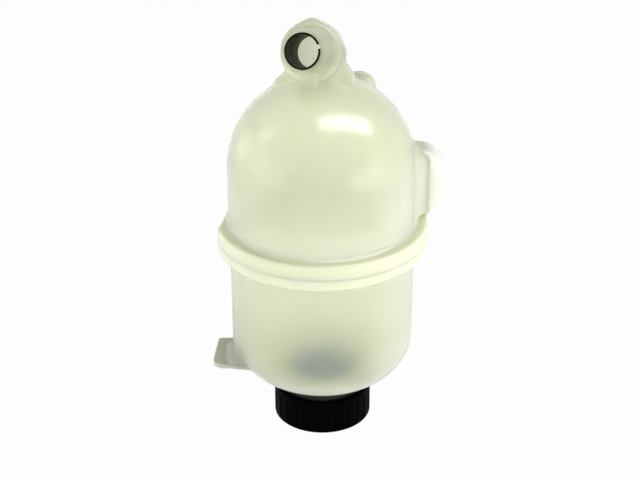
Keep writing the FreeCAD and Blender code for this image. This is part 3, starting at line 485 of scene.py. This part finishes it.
def port_blend():
    """The rounded corner where the side port's housing grows out of the wall."""
    # Reach along the wall and rise along the housing, at each of its four sides
    at_front, at_back = (14 * MM, 8 * MM), (6 * MM, 6 * MM)
    at_top, at_underside = (3 * MM, 3 * MM), (1.2 * MM, 1.2 * MM)
    corner_steps, run_steps, profile_steps = 12, 12, 8
    straight = 2 * MM  # a longer step of the outline is a straight run
    sunk = 0.1 * MM  # depth of the blend's edges in the wall and the housing
    root = 0.5 * MM  # depth of its hidden corner

    def surface(y, z):
        """The wall's place along X."""
        return math.sqrt(SHELL_RADIUS ** 2 - max(0.0, z - DOME_CENTRE) ** 2 - y ** 2)

    outline = []
    front, back = PORT_FRONT + PORT_EDGE, PORT_BACK - PORT_EDGE
    low, high = PORT_LOW + PORT_EDGE, PORT_HIGH - PORT_EDGE
    for y, z, start in ((back, high, 0), (front, high, 90), (front, low, 180), (back, low, 270)):
        for i in range(corner_steps + 1):
            angle = math.radians(start + i * 90 / corner_steps)
            out_y, out_z = math.cos(angle), math.sin(angle)
            outline.append((y + PORT_EDGE * out_y, z + PORT_EDGE * out_z, out_y, out_z))
    sections = []
    for here, after in zip(outline, outline[1:] + outline[:1]):
        y, z, out_y, out_z = here
        after_y, after_z = after[:2]
        level = at_front if out_y < 0 else at_back
        upright = at_top if out_z > 0 else at_underside
        reach, rise = (a * out_y ** 2 + b * out_z ** 2 for a, b in zip(level, upright))
        runs = 1 if math.hypot(after_y - y, after_z - z) < straight else run_steps
        for k in range(runs):
            here_y = y + (after_y - y) * k / runs
            here_z = z + (after_z - z) * k / runs
            section = []
            for j in range(profile_steps + 1):
                turn = math.pi / 2 * j / profile_steps
                away = reach * (1 - math.cos(turn)) - sunk * math.cos(turn)
                up = rise * (1 - math.sin(turn)) - sunk * math.sin(turn)
                at_y, at_z = here_y + out_y * away, here_z + out_z * away
                section.append((surface(at_y, at_z) + up, at_y, at_z))
            at_y, at_z = here_y - out_y * root, here_z - out_z * root
            section.append((surface(at_y, at_z) - root, at_y, at_z))
            sections.append(section)
    points, faces = swept(sections, closed=True)
    piece("port_blend", points, faces, "tank", "shell_plastic")


port_blend()


def tongue_blend():
    """The rounded corner that fills the step between the tongue and the curve of the shell's
    bottom. Its profile is a Bezier curve from the wall down to the tongue's upper face."""
    first, last, step = 164.5, 206.5, 0.5  # degrees round the axis
    first_fade, last_fade = 9, 10  # degrees
    end = 61.5 * MM  # furthest reach on the tongue
    trim = 0.1 * MM
    flare_start, flare = 56.5 * MM, 6.0 / 29.6  # place and slope of the tongue's front edge
    top = CURVE_HEIGHT + 2 * MM
    drop, bulge, lift = 13 * MM, 0.5 * MM, 0.4 * MM  # handles of the profile
    spans = 12
    sunk = 0.2 * MM  # depth of the blend's edges in the shell
    underside = TONGUE_TOP - 2 * sunk
    back_heights = (underside, 47 * MM, 52 * MM, 57 * MM, top)

    def shell(z):
        """The shell's radius at a height on its bottom curve."""
        below = max(0.0, CURVE_HEIGHT - z)
        return FOOT_RADIUS - CURVE_RADIUS + math.sqrt(CURVE_RADIUS ** 2 - below ** 2)

    def ease(share):
        share = min(1.0, max(0.0, share))
        return share * share * (3 - 2 * share)

    def on_tongue(angle):
        """How far the blend reaches out before it comes to the tongue's front edge."""
        reach = end
        while reach > shell(TONGUE_TOP):
            edge = -TONGUE_FRONT - flare * max(0.0, flare_start + reach * math.cos(angle))
            if reach * math.sin(angle) > edge:
                break
            reach -= trim
        return reach

    sections = []
    for i in range(round((last - first) / step) + 1):
        degrees = first + i * step
        angle = math.radians(degrees)
        full = min(ease((degrees - first) / first_fade), ease((last - degrees) / last_fade))
        reach = on_tongue(angle)
        handles = ((FOOT_RADIUS, top), (FOOT_RADIUS, top - drop),
                   (min(reach, FOOT_RADIUS + bulge), TONGUE_TOP + lift), (reach, TONGUE_TOP))
        section = []
        for k in range(spans + 1):
            t = k / spans
            shares = ((1 - t) ** 3, 3 * t * (1 - t) ** 2, 3 * t * t * (1 - t), t ** 3)
            r, z = (sum(share * handle[axis] for share, handle in zip(shares, handles))
                    for axis in (0, 1))
            base = shell(z) - sunk
            section.append((base + max(0.0, r - base) * full, z))
        section.append((base + max(0.0, reach - base) * full, underside))
        section += [(shell(z) - 3 * sunk, z) for z in back_heights]
        sections.append([(r * math.cos(angle), r * math.sin(angle), z) for r, z in section])
    points, faces = swept(sections, closed=False)
    piece("tongue_blend", points, faces, "tank", "shell_plastic")


tongue_blend()


# Floor, light and camera

WHITE = (1, 1, 1, 1)


def shown_white():
    """White where the camera, a reflection or clear plastic looks at it, with a light shadow."""
    tree = Tree(bpy.data.materials.new("floor"))
    paper = tree.noise(40, 4)
    tree.fill(tree.shader, {
        "Base Color": tree.ramp(paper, (0.3, (0.86, 0.86, 0.855)), (0.7, (0.89, 0.89, 0.885))),
        "Roughness": 0.9,
        "Specular IOR Level": 0.1,
    })
    glow = tree.add("Emission", {"Color": WHITE, "Strength": 1.0}).outputs[0]
    share = tree.times(tree.seen(), 0.97)
    both = tree.add("MixShader", {0: share, 1: tree.shader.outputs[0], 2: glow}).outputs[0]
    tree.fill(tree.nodes["Material Output"], {"Surface": both})
    return tree.owner


FLOOR = -8.5 * MM  # just below the cap's face when the cap is unscrewed
SPAN = 4  # metres from the middle of the floor to its sides
corners = [(-SPAN, -SPAN, FLOOR), (SPAN, -SPAN, FLOOR), (SPAN, SPAN, FLOOR), (-SPAN, SPAN, FLOOR)]
floor_mesh = bpy.data.meshes.new("floor")
floor_mesh.from_pydata(corners, [], [(0, 1, 2, 3)])
floor_mesh.materials.append(shown_white())
floor = bpy.data.objects.new("floor", floor_mesh)
bpy.context.scene.collection.objects.link(floor)


def white_world(level, overhead):
    """Light all round that falls off from the level up to overhead, plain white to the camera, in
    reflections and through the plastic."""
    world = bpy.data.worlds.new("studio")
    bpy.context.scene.world = world
    tree = Tree(world, "Background")
    up = tree.add("SeparateXYZ", {"Vector": tree.places["Generated"]}).outputs["Z"]
    light = tree.spread(up, level, overhead, 0.0, 0.65)
    strength = tree.add("Mix", {"Factor": tree.seen(), "A": light, "B": 1.0}).outputs["Result"]
    tree.fill(tree.shader, {"Color": WHITE, "Strength": strength})


AIM = Vector((0, 0, 0.15))  # the tank's middle, which the lights face


def softbox(name, toward, along, distance, length, width, power):
    """A rectangular light that faces the tank from a direction, with its length along another."""
    lamp = bpy.data.lights.new(name, "AREA")
    lamp.shape = "RECTANGLE"
    lamp.size = length
    lamp.size_y = width
    lamp.energy = power
    item = bpy.data.objects.new(name, lamp)
    away = Vector(toward).normalized()
    side = away.cross(Vector(along)).normalized()
    turn = Matrix((side.cross(away), side, away)).transposed().to_4x4()
    item.matrix_world = Matrix.Translation(AIM + away * distance) @ turn
    bpy.context.scene.collection.objects.link(item)
    return item


white_world(level=1.0, overhead=0.1)
# Each light's direction, the direction of its length, its distance, length, width and power
KEY = (0.412, -0.108, 0.905), (0.876, 0.32, -0.361)
softbox("key_light", *KEY, 1.0, 1.05, 0.30, 2.4)
softbox("key_card", *KEY, 1.01, 1.05, 0.30, 4.0).visible_diffuse = False
softbox("side_light", (-0.888, 0.44, 0.06), (0.5, 0.9, 0.2), 1.0, 0.34, 0.28, 0.5)
softbox("window_light", (-0.83, 0.08, 0.53), (0.4, -0.6, 0.6), 1.0, 0.38, 0.18, 0.45)
for fill in (
    softbox("left_fill", (-0.92, -0.35, 0.05), (0.35, -0.92, 0), 1.0, 0.8, 0.4, 5.0),
    softbox("right_fill", (0.88, -0.47, 0.0), (0.47, 0.88, 0), 1.0, 1.0, 0.35, 7.6),
    softbox("front_fill", (0.10, -0.98, 0.15), (1, 0, 0), 1.0, 1.2, 0.9, 1.6),
):
    fill.visible_glossy = False

PHOTO_WIDTH = 640  # pixels
SENSOR_WIDTH = 36  # millimetres, as Blender counts a lens


def photo_camera(target, distance, elevation, roll, focal_px):
    """The camera of the photograph: it looks along +Y and down."""
    camera = bpy.data.cameras.new("camera")
    camera.sensor_width = SENSOR_WIDTH
    camera.lens = focal_px / PHOTO_WIDTH * SENSOR_WIDTH
    camera.clip_start = 0.05
    camera.clip_end = 20
    lean = math.radians(elevation)
    forward = Vector((0, math.cos(lean), -math.sin(lean)))
    right = Vector((1, 0, 0))
    up = right.cross(forward)
    tip = math.radians(roll)
    across = right * math.cos(tip) + up * math.sin(tip)
    above = up * math.cos(tip) - right * math.sin(tip)
    item = bpy.data.objects.new("camera", camera)
    turn = Matrix((across, above, -forward)).transposed().to_4x4()
    item.matrix_world = Matrix.Translation(Vector(target) - forward * distance) @ turn
    bpy.context.scene.collection.objects.link(item)
    bpy.context.scene.camera = item


photo_camera(target=(-1.23 * MM, 0, 120.23 * MM), distance=1090.34 * MM, elevation=27.88,
             roll=-0.17, focal_px=1800)
bpy.context.scene.view_settings.view_transform = "Standard"
